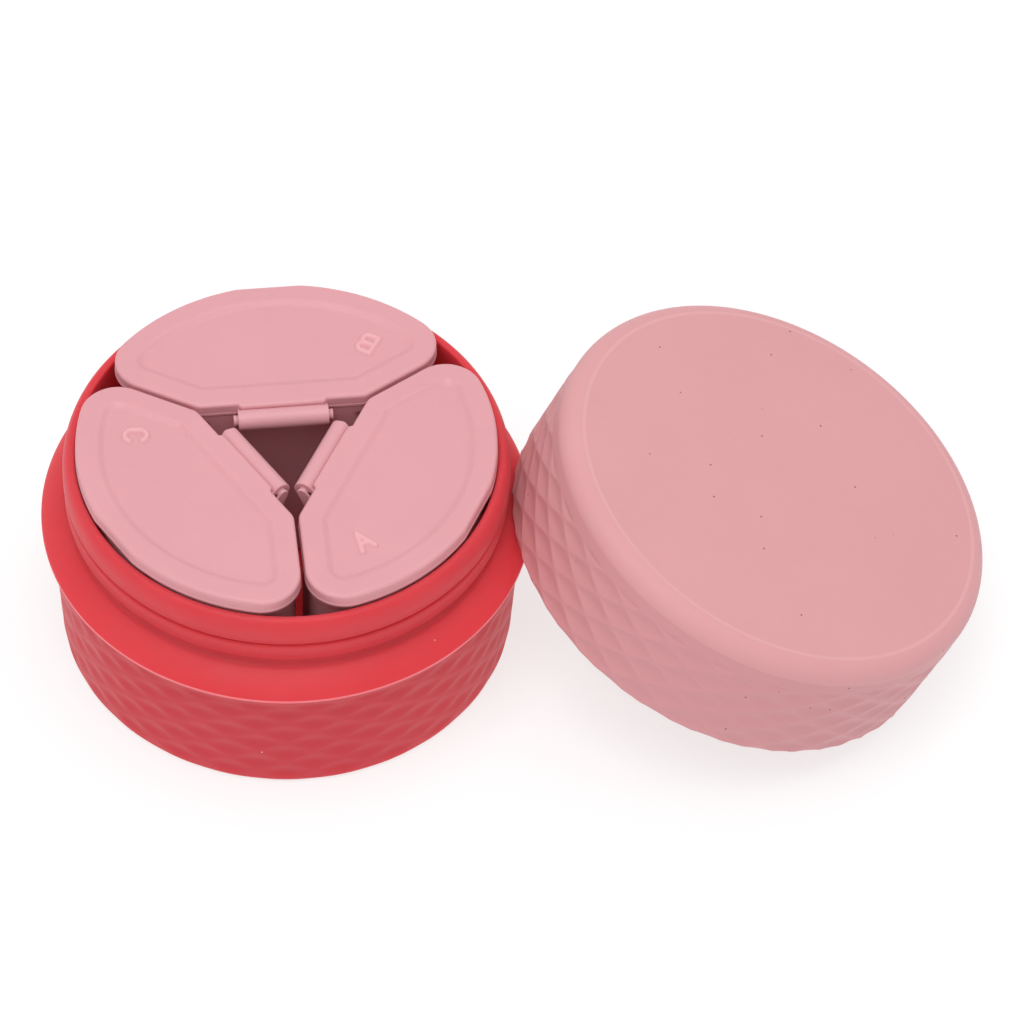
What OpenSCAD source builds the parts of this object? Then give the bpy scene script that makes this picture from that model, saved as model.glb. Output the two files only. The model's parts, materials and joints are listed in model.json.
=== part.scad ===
// Round silicone pill organizer: a cup that holds three hinged pill boxes, and a cap beside it.
// Origin: centre of the cup's bottom face. +Z is up, and +X points at the cap.

/* [Cup] */
// Radius of the cup's wall at its foot
foot_r = 32.8; // [32.5:0.1:33.2]
// Radius of the cup's wall where it starts to flare
wall_r = 33.5; // [33.2:0.1:33.8]
// Radius of the sharp edge where the shoulder starts
edge_r = 35; // [34.6:0.1:36]
// Height of that edge above the table
edge_z = 21.8; // [20:0.1:22]
// Height of the shoulder above the edge
shoulder_h = 2.7; // [2.5:0.1:3]
// Radius of the neck below its bead
neck_r = 30.7; // [30.6:0.1:31]
// Radius of the bead round the neck
bead_r = 31.5; // [31.4:0.1:31.6]
// Radius of the groove above the bead
groove_r = 31; // [30.9:0.1:31.1]
// Radius of the lip round the cup's mouth
lip_r = 31.6; // [31.5:0.1:31.6]
// Radius inside the cup
bore_r = 29.7; // [29.6:0.1:29.8]
// Height of the cup
cup_h = 34.3; // [34:0.1:34.3]
// Thickness of the cup's floor
floor_t = 2.5; // [2:0.1:2.6]

/* [Pill boxes] */
// Turn of the three boxes in the cup
turn = 7.5; // [0:0.5:10]
// Radius of a closed box lid
lid_r = 29.7; // [29.2:0.1:29.7]
// Height of the closed lids' top face
lid_z = 36.6; // [36.5:0.1:36.7]
// Thickness of a lid's plate
lid_t = 2.2; // [2.1:0.1:2.3]
// Radius of a tray's wall
tub_r = 28.7; // [28:0.1:28.7]
// Wall and floor thickness of a tray
tub_t = 1.2; // [1:0.1:1.4]
// Gap between two trays
tub_gap = 1.8; // [1.6:0.1:2]
// Gap between two closed lids
lid_gap = 0.6; // [0.6:0.05:0.8]
// Distance from the middle to a hinge axis
hinge_x = 5.5; // [5.5:0.1:5.8]
// Radius of a hinge rod
rod_r = 0.75; // [0.7:0.01:0.75]
// Bore radius of the clip that turns on the rod
clip_bore_r = 0.8; // [0.8:0.01:0.84]
// Outer radius of the clip
clip_r = 1.45; // [1.4:0.05:1.45]
// Length of the clip
clip_l = 12.8; // [12:0.1:12.8]
// Cap height of the raised letters
letter_h = 4.2; // [3.5:0.1:4.4]

/* [Cap] */
// Radius of the cap's rim
cap_r = 33.4; // [33.3:0.1:33.6]
// Radius of the plain band above the skirt
band_r = 33.3; // [33:0.1:33.3]
// Height of the cap
cap_h = 19.5; // [19:0.1:20]
// Rounding between the cap's flat face and its band
cap_round = 2.8; // [2:0.1:3]
// Thickness of the cap's top
cap_top_t = 2.5; // [2:0.1:3]
// Radius inside the cap
cap_bore_r = 31.9; // [31.9:0.05:32]
// Tilt of the cap as it leans on the cup
tilt = 21.6; // [21.6:0.1:24]
// Distance from the cup's axis to the middle of the cap's rim
cap_x = 62.8; // [62.7:0.1:70]
// Direction in which the cap tilts, seen from above
tilt_turn = 1.7; // [0:0.1:4]

/* [Hidden] */
$fn = 96;
eps = 0.01;

CORAL = [0.85, 0.26, 0.30];
PINK = [0.88, 0.65, 0.67];
ROSE = [0.90, 0.67, 0.69];

foot_round = 1.2;      // rounding of the cup's foot
flare_h = 3;           // height of the flare under the shoulder's edge
flare_pow = 1.6;       // how late the flare turns outwards
edge_t = 0.4;          // height of the upright edge between flare and shoulder
shoulder_pow = 1.54;   // shoulder's profile, 1 for a full round and 2 for a straight slope
bead_z0 = 26.7;
bead_z1 = 29.5;
bead_round = 0.5;      // rounding of the bead's upper edge
lip_z0 = cup_h - 4.4;
lip_in = 1.3;          // the lip's outer edge is a quarter of an ellipse: its reach inwards
lip_down = 2.7;        // and its reach downwards
mouth_round = 0.5;     // rounding of the mouth's inner edge
floor_round = 1;       // fillet round the cup's floor, inside
cap_bore_round = 2;    // fillet under the cap's top, inside

hinge_z = lid_z - 1.6;
lid_z0 = lid_z - lid_t;
tub_z0 = floor_t + 0.3;
tub_z1 = lid_z0 - 0.2;
lid_in = 7.1;          // distance from the middle to a lid's inner edge
tub_in = 7.25;         // distance from the middle to a tray's inner wall
outer_corner = 5.4;    // rounding of a box's two outer corners
inner_corner = 2.5;    // rounding of a box's two inner corners
rim_out = 0.6;        // how far a tray's rim stands out
rim_h = 1.2;
nick_x = 29.1;        // distance from the middle to the finger nick's flat
nick_gap = 0.95;       // depth of the tray's recess under the nick
soft_edge = 0.6;       // step that softens a lid's top edge
pan_inset = 3.4;       // width of the border round a lid's sunk panel
pan_d = 0.5;
plug_gap = 0.3;        // clearance between a lid's plug and its tray
plug_t = 0.9;
plug_h = 1.5;
ear_gap = 0.2;         // clearance between clip and ear
ear_t = 0.6;
ear_r = 0.9;
ear_foot = 4;          // how far an ear reaches down the tray's wall
slot_w = 1.1;          // mouth of the C-shaped clip
letter_t = 0.35;       // how far a letter stands up
stroke = 0.6;          // width of a letter's strokes
letter_w = 2.9;
letter_x = 17;       // middle of the letter in the box's frame
letter_y = -12.8;
letter_turn = 58;      // direction in which the letter reads
lid_gap_in = 0.35;     // how far the notch at the ears reaches into the lid
ear_top = 0.6;         // how far below the tray's top an ear joins its wall

cap_rim_round = 0.8;
cap_wall_z = -4.6;     // where the plain band ends
snap_z = -17.4;        // middle of the ridge that snaps under the neck's bead
snap_h = 1.2;
snap_in = 0.6;
// Height of the rim's middle, with the rim's rounded edge resting on the table.
rim_z = (cap_r - cap_rim_round) * sin(tilt) - cap_rim_round * cos(tilt) + cap_rim_round;

// Points of an arc about (x, y) from angle a0 to a1.
function arc(x, y, r, a0, a1, n) =
    [for (i = [0:n]) let (a = a0 + (a1 - a0) * i / n) [x + r * cos(a), y + r * sin(a)]];

// Outline of the cup's wall from the table up to the groove.
function cup_outer() = concat(
    [[0, 0]],
    arc(foot_r - foot_round, foot_round, foot_round, -90, 0, 6),
    [for (i = [0:8]) let (u = i / 8)
        [wall_r + (edge_r - wall_r) * pow(u, flare_pow), edge_z - flare_h - edge_t + flare_h * u]],
    [for (i = [0:15]) let (a = 90 * i / 15)
        [neck_r + (edge_r - neck_r) * pow(cos(a), shoulder_pow),
         edge_z + shoulder_h * pow(sin(a), shoulder_pow)]],
    [[neck_r, bead_z0 - 0.1]]);

// Outline of the neck: bead, groove and lip, then down the inside to the floor.
function cup_inner() = concat(
    [[bead_r, bead_z0 + 0.2]],
    arc(bead_r - bead_round, bead_z1 - bead_round, bead_round, 0, 90, 4),
    [[groove_r, lip_z0 - 0.1], [lip_r, lip_z0 + 0.3]],
    [for (a = [0:10:90]) [lip_r - lip_in + lip_in * cos(a), cup_h - lip_down + lip_down * sin(a)]],
    arc(bore_r + mouth_round, cup_h - mouth_round, mouth_round, 90, 180, 4),
    arc(bore_r - floor_round, floor_t + floor_round, floor_round, 0, -90, 6),
    [[0, floor_t]]);

module base_cup() {
    color(CORAL) rotate_extrude($fn = 180) polygon(concat(cup_outer(), cup_inner()));
}

// The cap in its own frame: flat face at z = 0, rim below it.
function cap_outline() = concat(
    [[0, 0]],
    arc(band_r - cap_round, -cap_round, cap_round, 90, 0, 10),
    [[band_r, cap_wall_z], [cap_r, cap_wall_z - 1]],
    arc(cap_r - cap_rim_round, cap_rim_round - cap_h, cap_rim_round, 0, -90, 5),
    [[cap_bore_r, -cap_h],
     [cap_bore_r, snap_z - snap_h / 2],
     [cap_bore_r - snap_in, snap_z],
     [cap_bore_r, snap_z + snap_h / 2]],
    arc(cap_bore_r - cap_bore_round, -cap_top_t - cap_bore_round, cap_bore_round, 0, 90, 6),
    [[0, -cap_top_t]]);

module outer_lid() {
    color(PINK)
        translate([cap_x, 0, rim_z])
        rotate([0, tilt, tilt_turn])
        translate([0, 0, cap_h])
        rotate_extrude($fn = 180) polygon(cap_outline());
}

// Third of a disc with straight sides, cut off at x_in.
module sector(r, gap, x_in) {
    intersection() {
        circle(r);
        polygon([[gap, 0], [gap + 2 * r, 2 * r * tan(60)], [gap + 2 * r, -2 * r * tan(60)]]);
        translate([x_in, -r]) square([r, 2 * r]);
    }
}

module rounded(r) {
    offset(r = r) offset(delta = -r) children();
}

// A box's outline seen from above: large rounding outside, small rounding at the hinge.
module box_outline(r, gap, x_in, grow = 0) {
    mid_x = 13;
    offset(delta = grow) {
        intersection() {
            rounded(outer_corner) sector(r, gap, x_in);
            translate([mid_x, -r]) square([r, 2 * r]);
        }
        intersection() {
            rounded(inner_corner) sector(r, gap, x_in);
            translate([0, -r]) square([mid_x + eps, 2 * r]);
        }
    }
}

module tub_outline(grow = 0) {
    box_outline(tub_r, tub_gap / 2 / sin(60), tub_in, grow, $fn = 64);
}

module lid_outline(grow = 0) {
    box_outline(lid_r, lid_gap / 2 / sin(60), lid_in, grow, $fn = 64);
}

// The child at one end of the hinge, and its mirror image at the other end.
module both_ends() {
    children();
    mirror([0, 1, 0]) children();
}

module tub() {
    ear_y = clip_l / 2 + ear_gap;
    difference() {
        union() {
            translate([0, 0, tub_z0]) linear_extrude(tub_z1 - tub_z0) tub_outline();
            intersection() {
                translate([0, 0, tub_z1 - rim_h]) linear_extrude(rim_h) tub_outline(rim_out);
                translate([tub_in, -tub_r, 0]) cube([tub_r, 2 * tub_r, lid_z]);
            }
        }
        translate([0, 0, tub_z0 + tub_t]) linear_extrude(lid_z) tub_outline(-tub_t);
        translate([nick_x - nick_gap, -lid_r, tub_z1 - rim_h]) cube([lid_r, 2 * lid_r, lid_z]);
    }
    both_ends()
        translate([0, ear_y + ear_t, 0])
        rotate([90, 0, 0])
        linear_extrude(ear_t)
        hull() {
            translate([hinge_x, hinge_z]) circle(ear_r, $fn = 32);
            translate([tub_in, tub_z1 - ear_top - ear_foot]) square([tub_t / 2, ear_foot]);
        }
    translate([hinge_x, ear_y + eps, hinge_z])
        rotate([90, 0, 0])
        cylinder(r = rod_r, h = 2 * (ear_y + eps), $fn = 48);
}

// A straight stroke between two points, with round ends.
module line2d(a, b) {
    hull() {
        translate(a) circle(stroke / 2, $fn = 16);
        translate(b) circle(stroke / 2, $fn = 16);
    }
}

// The letters are centred on the origin.
module letter_a() {
    top = (letter_h - stroke) / 2;
    side = (letter_w - stroke) / 2;
    line2d([-side, -top], [0, top]);
    line2d([side, -top], [0, top]);
    line2d([-side * 0.65, -top * 0.3], [side * 0.65, -top * 0.3]);
}

module letter_b() {
    top = (letter_h - stroke) / 2;
    side = (letter_w - stroke) / 2;
    bowl = top / 2;
    line2d([-side, -top], [-side, top]);
    for (y = [-top, 0, top]) line2d([-side, y], [side - bowl, y]);
    for (y = [-bowl, bowl]) translate([side - bowl, y]) difference() {
        circle(bowl + stroke / 2, $fn = 32);
        circle(bowl - stroke / 2, $fn = 32);
        translate([-letter_h, -letter_h]) square([letter_h, 2 * letter_h]);
    }
}

module letter_c() {
    bow = letter_w / 2;
    straight = letter_h / 2 - bow;
    difference() {
        hull() for (y = [-straight, straight]) translate([0, y]) circle(bow, $fn = 32);
        hull() for (y = [-straight, straight]) translate([0, y]) circle(bow - stroke, $fn = 32);
        translate([0, -straight - stroke]) square([letter_h, 2 * (straight + stroke)]);
    }
}

// Lid with its sunk panel, plug, clip and finger nick. The letter is the child.
module box_lid() {
    difference() {
        union() {
            difference() {
                translate([0, 0, lid_z0]) linear_extrude(lid_t - soft_edge) lid_outline();
                translate([0, 0, lid_z - pan_d]) linear_extrude(lid_t) lid_outline(-pan_inset);
                both_ends()
                    translate([0, clip_l / 2, 0])
                    cube([lid_in + lid_gap_in, 2 * ear_t + ear_gap, 2 * lid_z]);
            }
            difference() {
                translate([0, 0, lid_z - soft_edge - eps])
                    linear_extrude(soft_edge + eps) lid_outline(-soft_edge);
                translate([0, 0, lid_z - pan_d]) linear_extrude(lid_t) lid_outline(-pan_inset);
            }
            difference() {
                translate([0, 0, lid_z0 - plug_h])
                    linear_extrude(plug_h + eps) tub_outline(-tub_t - plug_gap);
                translate([0, 0, lid_z0 - plug_h - eps])
                    linear_extrude(plug_h + eps) tub_outline(-tub_t - plug_gap - plug_t);
            }
            translate([hinge_x, -clip_l / 2, hinge_z])
                cube([lid_in - hinge_x + 0.5, clip_l, lid_z - soft_edge - hinge_z]);
            translate([hinge_x, clip_l / 2, hinge_z])
                rotate([90, 0, 0]) cylinder(r = clip_r, h = clip_l);
        }
        translate([hinge_x, clip_l / 2 + 1, hinge_z])
            rotate([90, 0, 0]) cylinder(r = clip_bore_r, h = clip_l + 2, $fn = 48);
        translate([hinge_x, -clip_l, hinge_z])
            rotate([0, 120, 0]) translate([-slot_w / 2, 0, 0]) cube([slot_w, 2 * clip_l, 2 * clip_r]);
        translate([nick_x, -lid_r, 0]) cube([lid_r, 2 * lid_r, 2 * lid_z]);
    }
    translate([letter_x, letter_y, lid_z - pan_d - eps])
        rotate([0, 0, letter_turn])
        linear_extrude(letter_t + eps) children();
}

// Puts a box at its place in the cup.
module place(k) {
    rotate([0, 0, turn + k]) children();
}

module box_a_tub() { color(ROSE) place(-30) tub(); }
module box_b_tub() { color(ROSE) place(90) tub(); }
module box_c_tub() { color(ROSE) place(210) tub(); }
module box_a_lid() { color(ROSE) place(-30) box_lid() letter_a(); }
module box_b_lid() { color(ROSE) place(90) box_lid() letter_b(); }
module box_c_lid() { color(ROSE) place(210) box_lid() letter_c(); }

base_cup();
outer_lid();
box_a_tub();
box_b_tub();
box_c_tub();
box_a_lid();
box_b_lid();
box_c_lid();
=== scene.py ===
import json
import math

import bmesh
import bpy
import numpy as np
from mathutils import Matrix, Vector


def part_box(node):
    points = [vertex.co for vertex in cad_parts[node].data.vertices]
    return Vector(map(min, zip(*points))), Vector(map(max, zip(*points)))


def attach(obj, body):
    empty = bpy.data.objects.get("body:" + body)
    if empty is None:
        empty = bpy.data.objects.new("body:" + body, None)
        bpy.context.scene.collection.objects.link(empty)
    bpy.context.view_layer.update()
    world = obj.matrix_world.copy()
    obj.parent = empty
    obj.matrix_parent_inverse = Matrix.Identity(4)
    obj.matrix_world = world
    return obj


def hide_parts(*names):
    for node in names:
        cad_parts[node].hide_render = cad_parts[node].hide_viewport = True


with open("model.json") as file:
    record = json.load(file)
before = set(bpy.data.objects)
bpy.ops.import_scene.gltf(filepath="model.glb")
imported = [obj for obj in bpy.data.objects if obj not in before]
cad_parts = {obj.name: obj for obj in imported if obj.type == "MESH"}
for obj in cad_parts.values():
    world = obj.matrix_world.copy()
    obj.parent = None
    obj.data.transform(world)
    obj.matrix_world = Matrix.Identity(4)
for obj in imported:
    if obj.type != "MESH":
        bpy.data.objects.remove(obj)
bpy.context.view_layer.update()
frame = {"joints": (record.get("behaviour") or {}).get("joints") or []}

scene = bpy.context.scene
MM = 0.001

# ---------------------------------------------------------------- sizes, in millimetres and degrees
FOOT_R = 32.8
FOOT_ROUND = 1.2
WALL_R = 33.5
EDGE_R = 35.0
EDGE_Z = 21.8
EDGE_T = 0.4
EDGE_SOFT = 0.09
WALL_TOP = EDGE_Z - EDGE_T
FLARE_H = 3.0           # the wall flares out to the edge over this height
FLARE_POW = 1.6
FLARE_Z0 = WALL_TOP - FLARE_H
NECK_R = 30.7
NECK_SOFT = 0.2
SHOULDER_H = 2.7
SHOULDER_R = NECK_R + 0.3   # where the shoulder ends, just outside the neck
SHOULDER_POW = 1.54
BEAD_R = 31.5
BEAD_Z0 = 26.7
BEAD_Z1 = BEAD_Z0 + 2.8
BEAD_ROUND = 0.5
GROOVE_R = 31.0
LIP_R = 31.6
LIP_IN = 1.3            # the lip's outer edge is a quarter of an ellipse
LIP_DOWN = 2.7
BORE_R = 29.7
CUP_H = 34.3
LIP_Z0 = CUP_H - 4.4
MOUTH_ROUND = 0.35
FLOOR_T = 2.5
FLOOR_ROUND = 1.0

CAP_R = 33.4
BAND_R = 33.3
BAND_H = 4.6
CAP_H = 19.5
CAP_ROUND = 2.8
CAP_ROUND_FROM = 84     # the face meets its rounding at a slight edge: degrees of the arc
FACE_R = BAND_R - CAP_ROUND * (1 - math.cos(math.radians(CAP_ROUND_FROM)))
CAP_TOP_T = 2.5
CAP_BORE_R = 31.9
CAP_BORE_ROUND = 2.0
CAP_RIM_ROUND = 0.8
SNAP_Z = -17.4
SNAP_H = 1.2
SNAP_IN = 0.6
SNAP_SOFT = 0.3

CELLS = 26              # quilted diamonds round the wall
CELL_STEPS = 28         # mesh columns across one diamond
COLUMNS = CELLS * CELL_STEPS
CUP_CELL_H = 4.75
CUP_CELL_Z = 9.93       # height of one row of diamond centres
CUP_CELL_TURN = -109.0  # direction of one column of diamond centres
CUP_DISH = 0.26         # depth of a diamond's dish on the cup
CUP_DISH_SOFT = 0.7     # 0 for crisp ridges between the dishes, 1 for soft ones
CUP_FADE_TOP = 4.0      # the quilting fades out over these heights below the edge and above the foot
CUP_FADE_FOOT = 3.0
CAP_CELL_H = 4.54
CAP_CELL_Z = -11.0
CAP_CELL_TURN = -167.0
CAP_DISH = 0.42
CAP_FADE_TOP = 0.7
CAP_FADE_RIM = 0.9
CAP_RIM_SHARE = 0.35    # share of a dish's depth that is left at the cap's rim

OUTER_CORNER = 5.4
LEAST_OUTER = 1.4       # a box's corners stay this round where its outline is set in
INNER_CORNER = 2.5
LEAST_INNER = 0.25
LID_R = 29.7
LID_Z = 36.6
LID_T = 2.2
LID_Z0 = LID_Z - LID_T
LID_ROUND = 0.5
LID_IN = 7.1
LID_GAP = 0.45
BARREL_REACH = 0.55     # how much farther in the plate reaches over its barrel
FLANGE_T = 0.5          # the thin flange under the lid's rounded border
FLANGE_OUT = 0.08
TUB_R = 28.7
TUB_IN = 7.25
TUB_T = 1.2
TUB_GAP = 1.8
TUB_Z0 = FLOOR_T + 0.3
TUB_Z1 = LID_Z0 - 0.2
TUB_ROUND = 0.8
TUB_FILLET = 1.0
RIM_OUT = 0.6           # the tray's rim stands out by this much, over this height
RIM_H = 1.2
NICK_X = 29.1           # the finger nick cuts the tray's rim and the lid straight
NICK_GAP = 0.95
LID_NICK_X = 29.35
PLUG_GAP = 0.3
PLUG_T = 0.9
PLUG_H = 1.5
PAN_INSET = 2.9         # the lid's sunk panel starts this far in and slopes down over PAN_SLOPE
PAN_SLOPE = 1.3
PAN_D = 0.5
HINGE_X = 5.5
HINGE_Z = 35.0
ROD_R = 0.75
ROD_SIDES = 32
CLIP_BORE_R = 0.8
CLIP_R = 1.45
CLIP_L = 12.8
CLIP_ROUND = 0.22
SLOT_W = 1.1            # the clip's open side
SLOT_AT = -30
TONGUE_X = 7.2
TONGUE_Z = LID_Z - 1.0
EAR_GAP = 0.2
EAR_T = 0.45
EAR_R = 0.78
EAR_FOOT = 4.0
EAR_TOP = 0.6
EAR_ROUND = 0.14

LETTER_H = 4.0
LETTER_W = 3.0
LETTER_T = 0.38
# where each letter's middle is on its lid, which is drawn along +X
LETTER_AT = {"a": (17.05, -12.1), "b": (17.25, -13.15), "c": (16.7, -13.15)}
LETTER_TURN = 58.0
LETTER_SINK = 0.08      # how far a letter's foot is sunk in the lid
STROKE = 0.92
STROKE_SLOPE = 0.46     # width of a stroke's sloping side
STROKE_FOOT = 0.12      # how far that side runs out beyond the stroke


# ---------------------------------------------------------------- mesh helpers
def arc(x, y, r, a0, a1, n):
    """n + 1 points on an arc, from a0 to a1 degrees."""
    return [(x + r * math.cos(math.radians(a0 + (a1 - a0) * i / n)),
             y + r * math.sin(math.radians(a0 + (a1 - a0) * i / n))) for i in range(n + 1)]


def quarter(n):
    """n + 1 angles from 0 to 90 degrees, in radians."""
    return [math.radians(90 * i / n) for i in range(n + 1)]


def soften(points, cut, steps=3, least=14.0):
    """Rounds the sharp corners of a line of points, cutting each by at most that length."""
    pts = [Vector(p) for p in points]
    out = [tuple(pts[0])]
    for before, p, after in zip(pts, pts[1:], pts[2:]):
        a, b = before - p, after - p
        if 180 - math.degrees(a.angle(b)) < least:
            out.append(tuple(p))
            continue
        c = min(cut, 0.4 * a.length, 0.4 * b.length)
        p0, p1 = p + a.normalized() * c, p + b.normalized() * c
        for k in range(steps + 1):
            t = k / steps
            out.append(tuple(p0 * (1 - t) ** 2 + p * 2 * t * (1 - t) + p1 * t ** 2))
    out.append(tuple(pts[-1]))
    return out


def make(name, verts, faces, place=None):
    """A smooth mesh object from points in millimetres."""
    pts = np.array(verts, dtype=float)
    if place is not None:
        m = np.array(place)
        pts = pts @ m[:3, :3].T + m[:3, 3]
    me = bpy.data.meshes.new(name)
    me.from_pydata((pts * MM).tolist(), [], faces)
    me.validate()
    bm = bmesh.new()
    bm.from_mesh(me)
    bmesh.ops.recalc_face_normals(bm, faces=bm.faces)
    bm.to_mesh(me)
    bm.free()
    me.polygons.foreach_set("use_smooth", [True] * len(me.polygons))
    ob = bpy.data.objects.new(name, me)
    scene.collection.objects.link(ob)
    return ob


def weigh(ob):
    """Flat faces keep flat shading next to their rounded edges."""
    mod = ob.modifiers.new("normals", "WEIGHTED_NORMAL")
    mod.keep_sharp = True
    mod.weight = 60


def bevel(ob, width, segments, angle=35):
    mod = ob.modifiers.new("bevel", "BEVEL")
    mod.width = width * MM
    mod.segments = segments
    mod.limit_method = "ANGLE"
    mod.angle_limit = math.radians(angle)


def revolve(name, profile, n, turn, dent, place=None):
    """Turns a line of (r, z) points, which starts and ends on the axis, round that axis."""
    theta = np.radians(turn) + np.arange(n) * 2 * np.pi / n
    inner = profile[1:-1]
    verts = [(0, 0, profile[0][1])]
    for r, z in inner:
        rr = r - dent(theta, r, z)
        verts += list(zip(rr * np.cos(theta), rr * np.sin(theta), np.full(n, z)))
    verts.append((0, 0, profile[-1][1]))
    faces = []
    last = len(verts) - 1
    for i in range(len(inner) - 1):
        a, b = 1 + i * n, 1 + (i + 1) * n
        for j in range(n):
            k = (j + 1) % n
            faces.append((a + j, a + k, b + k, b + j))
    end = 1 + (len(inner) - 1) * n
    for j in range(n):
        k = (j + 1) % n
        faces.append((0, 1 + k, 1 + j))
        faces.append((last, end + j, end + k))
    return make(name, verts, faces, place)


def loft(name, rings, place):
    """Joins rings of (x, y, z) points, all with the same count, and closes both ends."""
    n = len(rings[0])
    verts = [p for ring in rings for p in ring]
    faces = []
    for i in range(len(rings) - 1):
        a, b = i * n, (i + 1) * n
        for j in range(n):
            k = (j + 1) % n
            faces.append((a + j, a + k, b + k, b + j))
    faces.append(tuple(range(n)))
    faces.append(tuple(range((len(rings) - 1) * n, len(rings) * n)))
    return make(name, verts, faces, place)


def prism(name, outline, y0, y1, place, round_by, steps=3):
    """Extrudes an (x, z) outline along Y and rounds its edges."""
    n = len(outline)
    verts = [(x, y, z) for y in (y0, y1) for x, z in outline]
    faces = [(j, (j + 1) % n, n + (j + 1) % n, n + j) for j in range(n)]
    faces += [tuple(range(n)), tuple(range(n, 2 * n))]
    ob = make(name, verts, faces, place)
    bevel(ob, round_by, steps)
    weigh(ob)
    return ob


def joined(name, parts):
    """Applies each part's modifiers and makes one object of them."""
    deps = bpy.context.evaluated_depsgraph_get()
    bm = bmesh.new()
    for p in parts:
        me = bpy.data.meshes.new_from_object(p.evaluated_get(deps))
        bm.from_mesh(me)
        bpy.data.meshes.remove(me)
    me = bpy.data.meshes.new(name)
    bm.to_mesh(me)
    bm.free()
    for p in parts:
        old = p.data
        bpy.data.objects.remove(p)
        bpy.data.meshes.remove(old)
    me.polygons.foreach_set("use_smooth", [True] * len(me.polygons))
    ob = bpy.data.objects.new(name, me)
    scene.collection.objects.link(ob)
    weigh(ob)
    return ob


# ---------------------------------------------------------------- places from the frame
def joint(name):
    return next(j for j in frame["joints"] if j["name"] == name)


def cap_place():
    """The cap leans on the cup: its axis is its joint's, its rim stands on the table."""
    axis = Vector(joint("cap_lift")["axis"]).normalized()
    lo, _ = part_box("outer_lid")
    ring = CAP_R - CAP_RIM_ROUND
    x = lo.x / MM + CAP_RIM_ROUND * (1 - axis.x) + ring * math.sqrt(1 - axis.x ** 2)
    z = CAP_RIM_ROUND * (1 - axis.z) + ring * math.sqrt(1 - axis.z ** 2)
    return (Matrix.Translation((x, 0, z)) @ Matrix.Rotation(math.atan2(axis.y, axis.x), 4, "Z")
            @ Matrix.Rotation(math.acos(axis.z), 4, "Y") @ Matrix.Translation((0, 0, CAP_H)))


def box_place(k):
    """A box is drawn along +X from the cup's axis, then turned to where its hinge is."""
    x, y, _ = joint(f"lid_{k}_hinge")["pos_m"]
    return Matrix.Rotation(math.atan2(y, x), 4, "Z")


# ---------------------------------------------------------------- material helpers
CLOUDS, BLOTCHES, GRAINS = 60.0, 180.0, 2600.0  # scales of the noise, per metre
DUST_CELLS = 420.0


def nodes_of(name):
    mat = bpy.data.materials.new(name)
    mat.use_nodes = True
    nt = mat.node_tree
    nt.nodes.clear()
    out = nt.nodes.new("ShaderNodeOutputMaterial")
    bsdf = nt.nodes.new("ShaderNodeBsdfPrincipled")
    nt.links.new(bsdf.outputs[0], out.inputs["Surface"])
    coord = nt.nodes.new("ShaderNodeTexCoord")
    return mat, nt, bsdf, coord.outputs["Object"]


def noise(nt, coord, scale, detail=3.0, rough=0.55):
    n = nt.nodes.new("ShaderNodeTexNoise")
    n.inputs["Scale"].default_value = scale
    n.inputs["Detail"].default_value = detail
    n.inputs["Roughness"].default_value = rough
    nt.links.new(coord, n.inputs["Vector"])
    return n.outputs["Fac"]


def ramp(nt, value, lo, hi, out_lo=0.0, out_hi=1.0):
    m = nt.nodes.new("ShaderNodeMapRange")
    m.inputs["From Min"].default_value = lo
    m.inputs["From Max"].default_value = hi
    m.inputs["To Min"].default_value = out_lo
    m.inputs["To Max"].default_value = out_hi
    nt.links.new(value, m.inputs["Value"])
    return m.outputs["Result"]


def mix(nt, fac, a, b):
    """Mixes two colours: sockets 6 and 7 are the mix node's colour inputs."""
    m = nt.nodes.new("ShaderNodeMix")
    m.data_type = "RGBA"
    nt.links.new(fac, m.inputs["Factor"])
    for value, socket in ((a, m.inputs[6]), (b, m.inputs[7])):
        if isinstance(value, tuple):
            socket.default_value = (*value, 1)
        else:
            nt.links.new(value, socket)
    return m.outputs[2]


def math_node(nt, operation, a, b):
    m = nt.nodes.new("ShaderNodeMath")
    m.operation = operation
    for value, socket in ((a, m.inputs[0]), (b, m.inputs[1])):
        if isinstance(value, float):
            socket.default_value = value
        else:
            nt.links.new(value, socket)
    return m.outputs[0]


def between(nt, value, lo, hi):
    """1 where a value is between two limits, 0 elsewhere."""
    return math_node(nt, "MULTIPLY", math_node(nt, "GREATER_THAN", value, lo),
                     math_node(nt, "LESS_THAN", value, hi))


def specks(nt, coord, scale, size, share):
    """1 inside a few small spots, 0 elsewhere."""
    v = nt.nodes.new("ShaderNodeTexVoronoi")
    v.inputs["Scale"].default_value = scale
    v.inputs["Randomness"].default_value = 1.0
    nt.links.new(coord, v.inputs["Vector"])
    near = ramp(nt, v.outputs["Distance"], size, size * 0.6)
    pick = nt.nodes.new("ShaderNodeSeparateColor")
    nt.links.new(v.outputs["Color"], pick.inputs[0])
    chosen = ramp(nt, pick.outputs[0], share, share * 0.98)
    return math_node(nt, "MULTIPLY", near, chosen)


def ring_mask(nt, coord, least_r, most_r, z0, z1, place=None):
    """1 between two radii and two heights, in a piece's own frame; 0 elsewhere."""
    if place is not None:
        back = place.inverted()
        back.translation *= MM
        local = nt.nodes.new("ShaderNodeMapping")
        local.inputs["Location"].default_value = back.translation
        local.inputs["Rotation"].default_value = back.to_euler()
        nt.links.new(coord, local.inputs["Vector"])
        coord = local.outputs[0]
    axes = nt.nodes.new("ShaderNodeSeparateXYZ")
    nt.links.new(coord, axes.inputs[0])
    x, y, z = axes.outputs
    rr = math_node(nt, "ADD", math_node(nt, "MULTIPLY", x, x), math_node(nt, "MULTIPLY", y, y))
    return math_node(nt, "MULTIPLY", between(nt, z, z0, z1), between(nt, rr, least_r ** 2, most_r ** 2))


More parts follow.
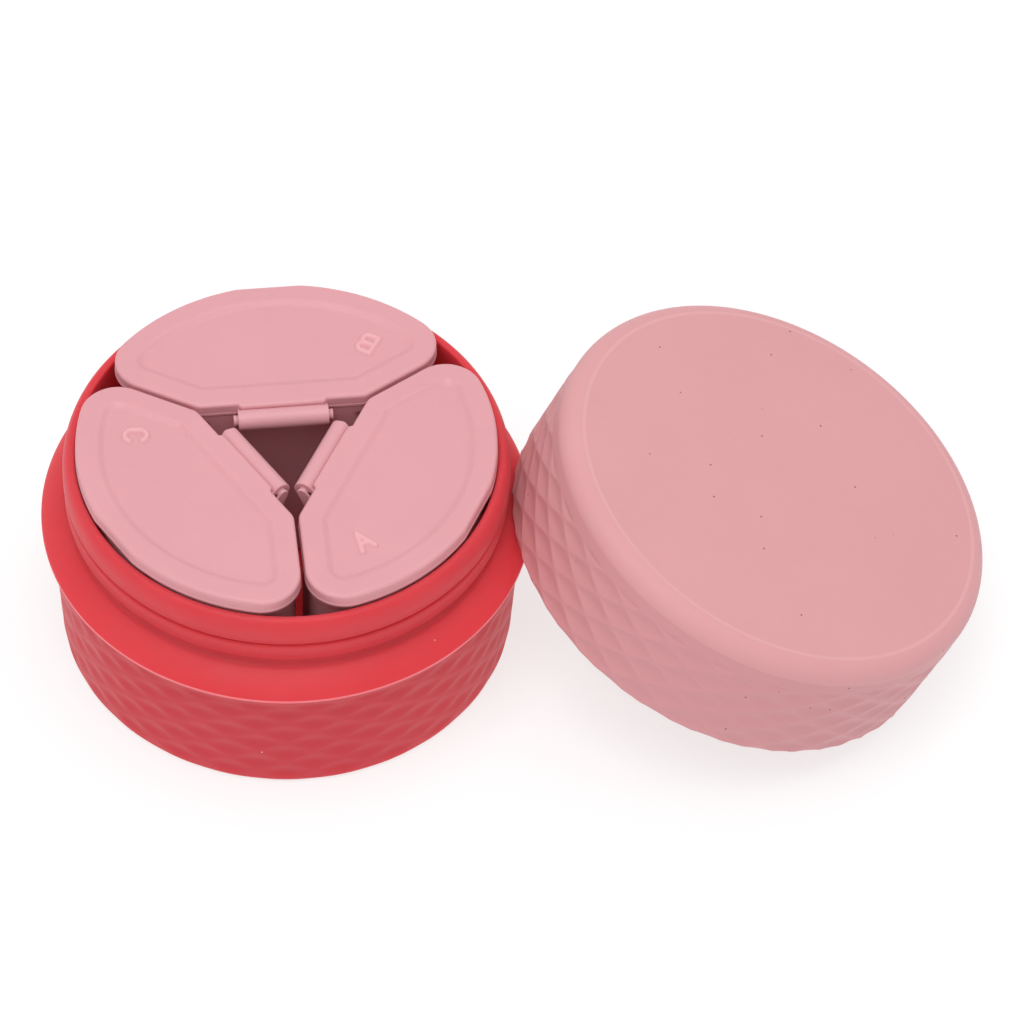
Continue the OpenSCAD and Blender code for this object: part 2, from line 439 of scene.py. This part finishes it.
def bump(nt, bsdf, height, strength, distance):
    b = nt.nodes.new("ShaderNodeBump")
    b.inputs["Strength"].default_value = strength
    b.inputs["Distance"].default_value = distance
    nt.links.new(height, b.inputs["Height"])
    nt.links.new(b.outputs[0], bsdf.inputs["Normal"])


def moulded(name, dark, light, rough, spec, sheen, grain,
            dust=None, scatter=0.0, radius=None, painted_light_bands=(), place=None):
    """A moulded surface: cloudy colour, fine grain, uneven gloss, a little dust, and bands of painted
    shade and painted highlight.

    The grain's height and the scatter's radius are in millimetres. Dust is a colour, a spot's size
    and the share of the cells that have one. A band is a colour with its two radii and two heights,
    in millimetres, in the frame that place gives.
    """
    mat, nt, bsdf, co = nodes_of(name)
    cloud = ramp(nt, noise(nt, co, CLOUDS, 4.0), 0.35, 0.65)
    colour = mix(nt, cloud, dark, light)
    # painted shade and painted highlight: each band's colour replaces the surface colour inside its ring
    for tint, limits in painted_light_bands:
        colour = mix(nt, ring_mask(nt, co, *(v * MM for v in limits), place), colour, tint)
    if dust:
        tint, size, share = dust
        colour = mix(nt, specks(nt, co, DUST_CELLS, size, share), colour, tint)
    nt.links.new(colour, bsdf.inputs["Base Color"])
    blotch = noise(nt, co, BLOTCHES)
    nt.links.new(ramp(nt, blotch, 0.3, 0.7, rough - 0.05, rough + 0.05), bsdf.inputs["Roughness"])
    bump(nt, bsdf, noise(nt, co, GRAINS, 2.0), 0.25, grain * MM)
    bsdf.inputs["Specular IOR Level"].default_value = spec
    bsdf.inputs["Sheen Weight"].default_value = sheen
    bsdf.inputs["Sheen Roughness"].default_value = 0.45
    if scatter:
        bsdf.inputs["Subsurface Weight"].default_value = scatter
        bsdf.inputs["Subsurface Radius"].default_value = radius
        bsdf.inputs["Subsurface Scale"].default_value = MM
    return mat


# ---------------------------------------------------------------- materials
PAST = 1                # a band's limit this far outside the piece
CUP_HIGHLIGHT_Z0 = EDGE_Z - 0.34     # painted highlight: a pale line along the cup's crisp edge
CUP_HIGHLIGHT_Z1 = EDGE_Z + 0.06
# painted shade: the cup's outer wall below its edge is coloured darker than the shoulder above it
CUP_WALL_SHADE = ((0.610, 0.042, 0.058), (BORE_R + PAST, EDGE_R + PAST, -PAST, CUP_HIGHLIGHT_Z0))
# painted highlight: a pale pink line coloured onto the cup's crisp edge, over a small real edge
CUP_EDGE_HIGHLIGHT = ((0.860, 0.220, 0.250), (EDGE_R - 0.25, EDGE_R + PAST, CUP_HIGHLIGHT_Z0, CUP_HIGHLIGHT_Z1))
# painted shade: the cap's side below its rounded edge is coloured darker than its face
CAP_SIDE_SHADE = ((0.665, 0.306, 0.325), (CAP_BORE_R, CAP_R + PAST, -CAP_H - PAST, -CAP_ROUND))
# painted highlight: a lighter ring where the cap's face meets its rounding
CAP_FACE_HIGHLIGHT = ((0.735, 0.376, 0.389), (FACE_R - 0.45, FACE_R + 0.05, -0.5, 0.5))

CORAL = moulded("coral_silicone", dark=(0.690, 0.048, 0.062), light=(0.715, 0.054, 0.068),
                rough=0.50, spec=0.25, sheen=0.03, grain=0.03, dust=((0.98, 0.80, 0.78), 0.050, 0.30),
                scatter=0.55, radius=(5.0, 0.5, 0.45), painted_light_bands=(CUP_WALL_SHADE, CUP_EDGE_HIGHLIGHT))
BLUSH = moulded("pink_silicone", dark=(0.700, 0.338, 0.353), light=(0.712, 0.346, 0.361),
                rough=0.58, spec=0.25, sheen=0.10, grain=0.03, dust=((0.20, 0.08, 0.08), 0.075, 0.40),
                scatter=0.15, radius=(1.8, 1.0, 0.9), painted_light_bands=(CAP_SIDE_SHADE, CAP_FACE_HIGHLIGHT),
                place=cap_place())
ROSE = moulded("pink_plastic", dark=(0.712, 0.342, 0.375), light=(0.732, 0.354, 0.387),
               rough=0.42, spec=0.40, sheen=0.0, grain=0.015, dust=((0.55, 0.25, 0.25), 0.050, 0.08),
               scatter=0.20, radius=(1.8, 0.9, 0.8))
# painted highlight: the raised letters are coloured a lighter pink than the lid they are moulded on
LIT_LETTER_PINK = moulded("pink_plastic_lit_letter", dark=(0.800, 0.400, 0.425), light=(0.815, 0.410, 0.435),
               rough=0.42, spec=0.40, sheen=0.0, grain=0.015)


def dress(ob, mat, body, slot, *nodes):
    ob.data.materials.append(mat)
    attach(ob, body)
    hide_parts(*nodes)
    return ob


# ---------------------------------------------------------------- quilted walls
def smooth01(x):
    x = np.clip(x, 0.0, 1.0)
    return x * x * (3 - 2 * x)


def quilt(theta, z, turn, z0, cell_h, soft=0.0):
    """Depth of the diamond dishes: 1 in a dish's middle, 0 on the ridges, which can be soft."""
    u = (theta - math.radians(turn)) / (2 * math.pi / CELLS)
    v = (z - z0) / cell_h
    a, b = u + v, u - v
    da = 2 * np.abs(a - np.round(a))
    db = 2 * np.abs(b - np.round(b))
    crisp = (1 - da ** 2) * (1 - db ** 2)
    round_ = (0.5 + 0.5 * np.cos(math.pi * da)) * (0.5 + 0.5 * np.cos(math.pi * db))
    return crisp * (1 - soft) + round_ * soft


def rows(z_from, z_to, z0, cell_h):
    """Heights of mesh rows between two heights, in step with the diamonds."""
    step = cell_h / CELL_STEPS
    k0 = math.ceil((z_from - z0) / step + 0.3)
    k1 = math.floor((z_to - z0) / step - 0.3)
    return [z0 + k * step for k in range(k0, k1 + 1)]


def wall_r(z):
    """Radius of the cup's outer wall: a slight taper with a flare above it."""
    u = (z - FLARE_Z0) / FLARE_H
    if u > 0:
        return WALL_R + (EDGE_R - WALL_R) * min(u, 1.0) ** FLARE_POW
    return FOOT_R + (WALL_R - FOOT_R) * (z - FOOT_ROUND) / (FLARE_Z0 - FOOT_ROUND)


def cup_dent(theta, r, z):
    """The quilting of the cup's outer wall: it fades out towards the foot and below the edge."""
    if r < FOOT_R - 0.9 or z > WALL_TOP:
        return np.zeros_like(theta)
    top = smooth01((WALL_TOP - 0.4 - z) / CUP_FADE_TOP)
    foot = smooth01((z + 0.2) / CUP_FADE_FOOT)
    return CUP_DISH * top * foot * quilt(theta, z, CUP_CELL_TURN, CUP_CELL_Z, CUP_CELL_H, CUP_DISH_SOFT)


def build_cup():
    base = [(0, 0), (FOOT_R / 2, 0), (FOOT_R - FOOT_ROUND - 1, 0)]
    foot = arc(FOOT_R - FOOT_ROUND, FOOT_ROUND, FOOT_ROUND, -90, 0, 10)
    wall = [(wall_r(z), z) for z in rows(FOOT_ROUND, WALL_TOP, CUP_CELL_Z, CUP_CELL_H)]
    shoulder = [(SHOULDER_R + (EDGE_R - SHOULDER_R) * math.cos(a) ** SHOULDER_POW,
                 EDGE_Z + SHOULDER_H * math.sin(a) ** SHOULDER_POW) for a in quarter(24)[1:-1]]
    edge = soften([wall[-1], (EDGE_R, WALL_TOP), (EDGE_R, EDGE_Z), shoulder[0]], EDGE_SOFT)[1:-1]
    neck = soften([shoulder[-1], (NECK_R, EDGE_Z + SHOULDER_H + 0.3), (NECK_R, BEAD_Z0),
                   (BEAD_R, BEAD_Z0 + 0.15)], NECK_SOFT)[1:-1]
    bead = [(BEAD_R - 0.06, BEAD_Z0 + 0.16), (BEAD_R, BEAD_Z0 + 0.22), (BEAD_R, BEAD_Z1 - 2 * BEAD_ROUND)]
    bead += arc(BEAD_R - BEAD_ROUND, BEAD_Z1 - BEAD_ROUND, BEAD_ROUND, 0, 90, 8)
    lip = [(GROOVE_R, LIP_Z0 - 0.1), (LIP_R - 0.15, LIP_Z0 + 0.25), (LIP_R, LIP_Z0 + 0.5)]
    lip += [(LIP_R - LIP_IN + LIP_IN * math.cos(a), CUP_H - LIP_DOWN + LIP_DOWN * math.sin(a))
            for a in quarter(20)[:-1]]
    mouth = arc(BORE_R + MOUTH_ROUND, CUP_H - MOUTH_ROUND, MOUTH_ROUND, 90, 180, 6)
    bore = [(BORE_R, z) for z in (CUP_H - 2, 20, FLOOR_T + 3)]
    floor = arc(BORE_R - FLOOR_ROUND, FLOOR_T + FLOOR_ROUND, FLOOR_ROUND, 0, -90, 6)
    floor += [(r, FLOOR_T) for r in (BORE_R - 2 * FLOOR_ROUND, BORE_R / 2, 0)]
    profile = base + foot + wall + edge + shoulder + neck + bead + lip + mouth + bore + floor
    ob = revolve("cup_shell", profile, COLUMNS, CUP_CELL_TURN, cup_dent)
    weigh(ob)
    return dress(ob, CORAL, "cup", "coral_silicone", "base_cup")


def cap_dent(theta, r, z):
    """The quilting of the cap's outer wall: it starts below the band and gets shallow near the rim."""
    if r < CAP_R - 0.7 or z > -BAND_H:
        return np.zeros_like(theta)
    top = smooth01((-BAND_H - z) / CAP_FADE_TOP)
    rim = CAP_RIM_SHARE + (1 - CAP_RIM_SHARE) * smooth01((z + CAP_H + 0.1) / CAP_FADE_RIM)
    return CAP_DISH * top * rim * quilt(theta, z, CAP_CELL_TURN, CAP_CELL_Z, CAP_CELL_H)


def build_cap():
    """The cap, with its face at z = 0 and its rim below, moved to where it leans."""
    rise = CAP_ROUND * (1 - math.sin(math.radians(CAP_ROUND_FROM)))
    edge = [(r, z + rise * max(0.0, 1 + z / CAP_ROUND))
            for r, z in arc(BAND_R - CAP_ROUND, -CAP_ROUND, CAP_ROUND, CAP_ROUND_FROM, 0, 16)]
    face = [(r, 0) for r in (0, BAND_R / 2, BAND_R - CAP_ROUND - 1.2, edge[0][0] - 0.12)]
    band = [(BAND_R, z) for z in (-CAP_ROUND - 0.6, -BAND_H + 0.3)]
    wall = [(BAND_R + (CAP_R - BAND_R) * float(smooth01((-BAND_H - z) / 0.8)), z)
            for z in rows(CAP_RIM_ROUND - CAP_H, -BAND_H, CAP_CELL_Z, CAP_CELL_H)][::-1]
    rim = arc(CAP_R - CAP_RIM_ROUND, CAP_RIM_ROUND - CAP_H, CAP_RIM_ROUND, 0, -90, 7)
    bore = soften([(CAP_R - CAP_RIM_ROUND, -CAP_H), (CAP_BORE_R, -CAP_H),
                   (CAP_BORE_R, SNAP_Z - SNAP_H / 2), (CAP_BORE_R - SNAP_IN, SNAP_Z),
                   (CAP_BORE_R, SNAP_Z + SNAP_H / 2), (CAP_BORE_R, -CAP_TOP_T - 2.5)], SNAP_SOFT)[1:]
    top = arc(CAP_BORE_R - CAP_BORE_ROUND, -CAP_TOP_T - CAP_BORE_ROUND, CAP_BORE_ROUND, 0, 90, 8)
    top += [(r, -CAP_TOP_T) for r in (CAP_BORE_R - CAP_BORE_ROUND - 1, CAP_BORE_R / 2, 0)]
    profile = face + edge + band + wall + rim + bore + top
    ob = revolve("cap_shell", profile, COLUMNS, CAP_CELL_TURN, cap_dent, cap_place())
    weigh(ob)
    return dress(ob, BLUSH, "cap", "pink_silicone", "outer_lid")


# ---------------------------------------------------------------- pill boxes
SIN60, COS60 = math.sin(math.radians(60)), 0.5


def sector(r, gap, x_in, inset, least=None, most=None):
    """A box's outline, set in by a distance: (x, y) points, always the same number of them.

    The sides run 60 degrees from +X, half a gap off a line through the cup's axis. (cx, cy) and
    (ox, oy) are the centres of the inner and outer corners' rounding, and least and most limit x.
    """
    g = gap / 2 / SIN60
    ri, ro = max(INNER_CORNER - inset, LEAST_INNER), max(OUTER_CORNER - inset, LEAST_OUTER)
    cx = x_in + inset + ri
    cy = ((cx - g) * SIN60 - inset - ri) / COS60
    bx, by = g + (inset + ro) * SIN60, -(inset + ro) * COS60
    k = bx * COS60 + by * SIN60
    reach = r - inset - ro
    t = -k + math.sqrt(k * k - (bx * bx + by * by - reach * reach))
    ox, oy = bx + t * COS60, by + t * SIN60
    phi = math.degrees(math.atan2(oy, ox))
    bend = arc(cx, cy, ri, 180, 150, 6)
    corner = arc(ox, oy, ro, 150, phi, 20)
    (x0, y0), (x1, y1) = bend[-1], corner[0]
    side = [(x0 + (x1 - x0) * s, y0 + (y1 - y0) * s) for s in (0.04, 0.2, 0.4, 0.6, 0.8, 0.96)]
    rim = arc(0, 0, r - inset, phi, 0, 56)[1:]
    end = CLIP_L / 2
    foot = [(bend[0][0], y) for y in (0, end / 2, end - 0.6, end - 0.1, end + 1.6)]
    upper = foot + bend + side + corner + rim
    lower = [(x, -y) for x, y in upper[-2:0:-1]]
    pts = upper + lower
    if least is not None:
        pts = [(max(x, least), y) for x, y in pts]
    if most is not None:
        pts = [(min(x, most), y) for x, y in pts]
    return pts


def lid_ring(inset, z, most=None):
    return [(x, y, z) for x, y in sector(LID_R, LID_GAP, LID_IN, inset, most=most)]


def tub_ring(inset, z, least=None, most=None):
    return [(x, y, z) for x, y in sector(TUB_R, TUB_GAP, TUB_IN, inset, least=least, most=most)]


def shrink(ring, factor):
    """A smaller copy of a ring, about its middle."""
    n = len(ring)
    mx, my = sum(p[0] for p in ring) / n, sum(p[1] for p in ring) / n
    return [(mx + (x - mx) * factor, my + (y - my) * factor, z) for x, y, z in ring]


def over_barrel(ring):
    """Lets the plate's inner edge reach a little farther in over the barrel."""
    half = CLIP_L / 2 - 0.2
    return [(x - BARREL_REACH if x < LID_IN + 1 and abs(y) < half else x, y, z) for x, y, z in ring]


def lid_plate(k, place):
    """Plate with a sunk soft-edged pan, a rounded border, a thin flange and a plug below."""
    pan = [(PAN_INSET + PAN_SLOPE * s, LID_Z - PAN_D * float(smooth01(s))) for s in
           (1.0, 0.85, 0.7, 0.55, 0.42, 0.3, 0.2, 0.1, 0.0)]
    deep = lid_ring(PAN_INSET + PAN_SLOPE + 0.3, LID_Z - PAN_D)
    rings = [shrink(deep, 0.3), shrink(deep, 0.7), deep]
    rings += [lid_ring(inset, z) for inset, z in pan + [(PAN_INSET - 0.5, LID_Z)]]
    flange_z = LID_Z0 + FLANGE_T
    edge = [(FLANGE_OUT + LID_ROUND * (1 - math.sin(a)), LID_Z - LID_ROUND * (1 - math.cos(a)))
            for a in quarter(8)]
    edge += [(FLANGE_OUT, flange_z + 0.15), (FLANGE_OUT - 0.01, flange_z + 0.05), (0.02, flange_z),
             (0.0, flange_z - FLANGE_OUT), (0.0, LID_Z0 + FLANGE_OUT), (FLANGE_OUT, LID_Z0), (0.6, LID_Z0)]
    rings += [over_barrel(lid_ring(inset, z, LID_NICK_X - inset)) for inset, z in edge]
    outside = TUB_T + PLUG_GAP
    inside = outside + PLUG_T
    low = LID_Z0 - PLUG_H
    plug = [(outside - 0.1, LID_Z0), (outside, LID_Z0 - 0.1), (outside, low + 0.2), (outside + 0.15, low),
            (inside - 0.15, low), (inside, low + 0.2), (inside, LID_Z0 - 0.1), (inside + 0.15, LID_Z0)]
    rings += [tub_ring(inset, z) for inset, z in plug]
    flat = rings[-1]
    rings += [shrink(flat, 0.6), shrink(flat, 0.3)]
    return loft(f"lid_plate_{k}", rings, place)


def lid_clip(k, place):
    """C-shaped clip and the tongue that carries it, extruded along the hinge."""
    start = math.degrees(math.asin((TONGUE_Z - HINGE_Z) / CLIP_R))
    wide = math.degrees(math.asin(SLOT_W / 2 / CLIP_R))
    narrow = math.degrees(math.asin(SLOT_W / 2 / CLIP_BORE_R))
    outline = [(TONGUE_X + 0.5, TONGUE_Z), (TONGUE_X, TONGUE_Z)]
    outline += arc(HINGE_X, HINGE_Z, CLIP_R, start + 6, 360 + SLOT_AT - wide, 40)
    outline += arc(HINGE_X, HINGE_Z, CLIP_BORE_R, 360 + SLOT_AT - narrow, SLOT_AT + narrow, 26)
    outline += arc(HINGE_X, HINGE_Z, CLIP_R, SLOT_AT + wide, 0, 2)
    outline += [(TONGUE_X + 0.5, HINGE_Z)]
    return prism(f"lid_clip_{k}", outline, -CLIP_L / 2, CLIP_L / 2, place, CLIP_ROUND, 4)


def letter_mesh(name, paths, place):
    """A raised letter: one closed shell over a fine grid, with its edges running softly into the lid."""
    step, margin = 0.06, 0.4
    half_x, half_y = LETTER_W / 2 + margin, LETTER_H / 2 + margin
    nx, ny = int(2 * half_x / step), int(2 * half_y / step)
    gx, gy = np.meshgrid(np.linspace(-half_x, half_x, nx), np.linspace(-half_y, half_y, ny), indexing="ij")
    far = np.full(gx.shape, LETTER_W + LETTER_H)
    for path in paths:
        for (x0, y0), (x1, y1) in zip(path[:-1], path[1:]):
            dx, dy = x1 - x0, y1 - y0
            t = np.clip(((gx - x0) * dx + (gy - y0) * dy) / (dx * dx + dy * dy), 0, 1)
            far = np.minimum(far, np.hypot(gx - x0 - t * dx, gy - y0 - t * dy))
    rise = np.sqrt(smooth01((STROKE / 2 + STROKE_FOOT - far) / STROKE_SLOPE))
    top = -LETTER_SINK + (LETTER_T + LETTER_SINK) * rise
    keep = far < STROKE / 2 + STROKE_FOOT + 0.02
    verts, index = [], {}

    def vert(i, j, side):
        if (i, j, side) not in index:
            index[i, j, side] = len(verts)
            verts.append((gx[i, j], gy[i, j], top[i, j] if side else -2 * LETTER_SINK))
        return index[i, j, side]

    cells = {(i, j) for i in range(nx - 1) for j in range(ny - 1)
             if keep[i, j] or keep[i + 1, j] or keep[i, j + 1] or keep[i + 1, j + 1]}
    faces = []
    for i, j in sorted(cells):
        corners = [(i, j), (i + 1, j), (i + 1, j + 1), (i, j + 1)]
        faces.append([vert(*c, 1) for c in corners])
        faces.append([vert(*c, 0) for c in reversed(corners)])
        for (di, dj), a, b in (((0, -1), 0, 1), ((1, 0), 1, 2), ((0, 1), 2, 3), ((-1, 0), 3, 0)):
            if (i + di, j + dj) not in cells:
                p, q = corners[a], corners[b]
                faces.append([vert(*p, 0), vert(*q, 0), vert(*q, 1), vert(*p, 1)])
    return make(name, verts, faces, place)


def letter_paths(k):
    """Middle lines of a letter's strokes."""
    top, side = (LETTER_H - STROKE) / 2, (LETTER_W - STROKE) / 2
    if k == "a":
        bar_x, bar_y = side * 0.65, -top * 0.3
        return [[(-side, -top), (0, top)], [(side, -top), (0, top)], [(-bar_x, bar_y), (bar_x, bar_y)]]
    if k == "b":
        bowl = top / 2
        out = [[(-side, -top), (-side, top)]]
        for y in (-bowl, bowl):
            out.append([(-side, y - bowl)] + arc(side - bowl, y, bowl, -90, 90, 12) + [(-side, y + bowl)])
        return out
    straight = top - side
    return [arc(0, straight, side, 25, 180, 12) + arc(0, -straight, side, 180, 335, 12)]


def tub_shell(k, place):
    """Tray: outer wall with its rim, inner wall with a filleted floor."""
    z0, z1 = TUB_Z0, TUB_Z1
    floor_z = z0 + TUB_T
    middle = (z0 + z1) / 2
    low = z1 - RIM_H
    nick = NICK_X - NICK_GAP
    base = tub_ring(TUB_ROUND + 0.4, z0)
    rings = [shrink(base, 0.3), shrink(base, 0.7), base]
    rings += [tub_ring(TUB_ROUND * (1 - math.sin(a)), z0 + TUB_ROUND * (1 - math.cos(a)))
              for a in quarter(5)]
    rings += [tub_ring(0, z) for z in (z0 + 1.5, middle, low - 1.0, low - 0.05)]
    rim = [(0.3 * RIM_OUT, low), (0.85 * RIM_OUT, low + 0.03), (RIM_OUT, low + 0.15),
           (RIM_OUT, z1 - 0.22), (RIM_OUT - 0.07, z1 - 0.06), (RIM_OUT - 0.25, z1)]
    rings += [tub_ring(-out, z, TUB_IN, nick) for out, z in rim]
    mouth = [(TUB_T - 0.2, z1), (TUB_T - 0.05, z1 - 0.06), (TUB_T, z1 - 0.2)]
    rings += [tub_ring(inset, z, None, nick) for inset, z in mouth]
    rings += [tub_ring(TUB_T, z) for z in (low, middle, floor_z + TUB_FILLET + 0.6)]
    rings += [tub_ring(TUB_T + TUB_FILLET * (1 - math.cos(a)), floor_z + TUB_FILLET * (1 - math.sin(a)))
              for a in quarter(5)]
    floor = tub_ring(TUB_T + TUB_FILLET + 0.6, floor_z)
    rings += [floor, shrink(floor, 0.7), shrink(floor, 0.3)]
    return loft(f"tub_shell_{k}", rings, place)


def tub_ears(k, place):
    """Two ears on the tray's inner wall and the rod between them."""
    top = TUB_Z1 - EAR_TOP
    root = TUB_IN + 0.5
    outline = arc(HINGE_X, HINGE_Z, EAR_R, 30, 195, 14)
    outline += [(TUB_IN, top - EAR_FOOT), (root, top - EAR_FOOT), (root, top)]
    y = CLIP_L / 2 + EAR_GAP
    parts = [prism(f"ear_{k}_{i}", outline, a, b, place, EAR_ROUND)
             for i, (a, b) in enumerate(((-y - EAR_T, -y), (y, y + EAR_T)))]
    rod = arc(HINGE_X, HINGE_Z, ROD_R, 0, 360 - 360 / ROD_SIDES, ROD_SIDES - 1)
    parts.append(prism(f"rod_{k}", rod, -y - 0.1, y + 0.1, place, 0.05, 1))
    return parts


def build_boxes():
    for k in "abc":
        place = box_place(k)
        tub = joined(f"box_{k}_tray", [tub_shell(k, place)] + tub_ears(k, place))
        dress(tub, ROSE, f"tray_{k}", "pink_plastic", f"box_{k}_tub")
        write = (place @ Matrix.Translation((*LETTER_AT[k], LID_Z - PAN_D))
                 @ Matrix.Rotation(math.radians(LETTER_TURN), 4, "Z"))
        lid = joined(f"box_{k}_cover", [lid_plate(k, place), lid_clip(k, place)])
        dress(lid, ROSE, f"lid_{k}", "pink_plastic", f"box_{k}_lid")
        mark = letter_mesh(f"box_{k}_letter", letter_paths(k), write)
        dress(mark, LIT_LETTER_PINK, f"lid_{k}", "pink_plastic", f"box_{k}_lid")


# ---------------------------------------------------------------- floor, light, camera
FLOOR_HALF = 4.0            # metres
FLOOR_GREYS = ((0.30, 0.30, 0.30), (0.32, 0.32, 0.32))
FLOOR_GLOW = 0.71           # keeps the ground nearly white, even in the shadows
SKY = 0.60
MIDDLE = (0.03, 0, 0.02)    # the point the lamps aim at, in metres
# each lamp's name, place and size, in metres, and its power in watts
LAMPS = (("key", (-0.15, -0.30, 1.05), 0.6, 4.3), ("top", (0.20, 0.10, 1.10), 0.9, 2.8))
CAMERA_AT = (17.62, -416.81, 523.31)    # millimetres
CAMERA_TURNS = ((-1.99, "Z"), (39.76, "X"), (3.11, "Z"))
LENS = 160.39


def build_stage():
    me = bpy.data.meshes.new("floor")
    s = FLOOR_HALF
    me.from_pydata([(-s, -s, 0), (s, -s, 0), (s, s, 0), (-s, s, 0)], [], [(0, 1, 2, 3)])
    floor = bpy.data.objects.new("floor", me)
    scene.collection.objects.link(floor)
    mat, nt, bsdf, co = nodes_of("floor_paint")
    colour = mix(nt, ramp(nt, noise(nt, co, 1.5), 0.3, 0.7), *FLOOR_GREYS)
    nt.links.new(colour, bsdf.inputs["Base Color"])
    bsdf.inputs["Roughness"].default_value = 0.9
    bsdf.inputs["Specular IOR Level"].default_value = 0.1
    bsdf.inputs["Emission Color"].default_value = (1, 1, 1, 1)
    bsdf.inputs["Emission Strength"].default_value = FLOOR_GLOW
    me.materials.append(mat)


def build_light():
    world = bpy.data.worlds.new("world")
    world.use_nodes = True
    back = world.node_tree.nodes["Background"]
    back.inputs[0].default_value = (1.0, 1.0, 1.0, 1)
    back.inputs[1].default_value = SKY
    scene.world = world
    for name, at, size, power in LAMPS:
        light = bpy.data.lights.new(name, "AREA")
        light.shape = "RECTANGLE"
        light.size = light.size_y = size
        light.energy = power
        ob = bpy.data.objects.new(name, light)
        ob.location = at
        ob.rotation_euler = (Vector(MIDDLE) - Vector(at)).to_track_quat("-Z", "Y").to_euler()
        scene.collection.objects.link(ob)
    scene.view_settings.view_transform = "Standard"
    scene.view_settings.look = "None"
    scene.view_settings.exposure = 0.0
    scene.view_settings.gamma = 1.0


def build_camera():
    data = bpy.data.cameras.new("camera")
    data.sensor_width = 36.0
    data.lens = LENS
    data.clip_start, data.clip_end = 0.05, 20.0
    cam = bpy.data.objects.new("camera", data)
    place = Matrix.Translation(Vector(CAMERA_AT) * MM)
    for degrees, axis in CAMERA_TURNS:
        place = place @ Matrix.Rotation(math.radians(degrees), 4, axis)
    cam.matrix_world = place
    scene.collection.objects.link(cam)
    scene.camera = cam


build_camera()
build_light()
build_stage()
build_cup()
build_cap()
build_boxes()
